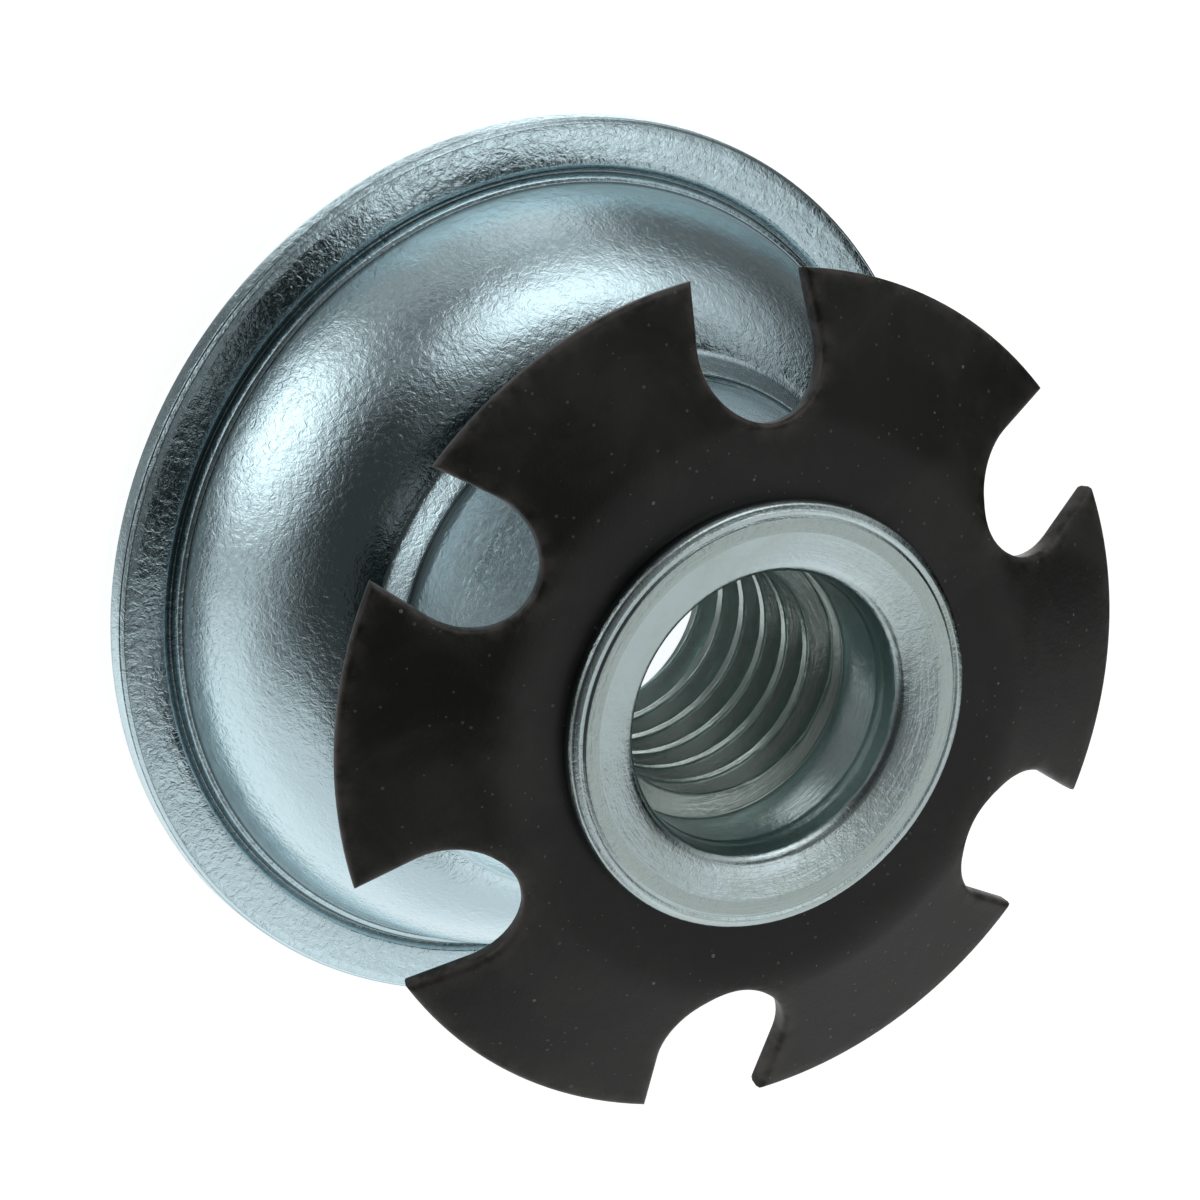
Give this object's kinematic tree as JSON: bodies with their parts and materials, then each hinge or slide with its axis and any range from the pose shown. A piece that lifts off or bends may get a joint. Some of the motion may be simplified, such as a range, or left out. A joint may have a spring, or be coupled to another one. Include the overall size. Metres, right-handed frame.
{
  "type": "threaded tube insert",
  "caption": "Threaded insert for the end of a round steel tube: flanged steel cup, notched star washer that grips the bore, and a riveted threaded barrel.",
  "frame": {"origin": "centre of the underside of the cup's flange, on the thread's axis", "axes": "+Z along the thread's axis, from the flange towards the rivet head, into the tube; one notch of the washer lies on +X"},
  "size_m": [0.0412, 0.0412, 0.0237],
  "materials": {
    "cup_zinc": "bright zinc plate with a faint blue tint over drawn steel sheet",
    "washer_black": "satin black oiled finish on spring steel",
    "barrel_zinc": "duller zinc plate on turned steel, rolled head"
  },
  "bodies": {
    "root": {"flanged_cup": "cup_zinc", "star_washer": "washer_black", "threaded_barrel": "barrel_zinc"}
  },
  "joints": []
}
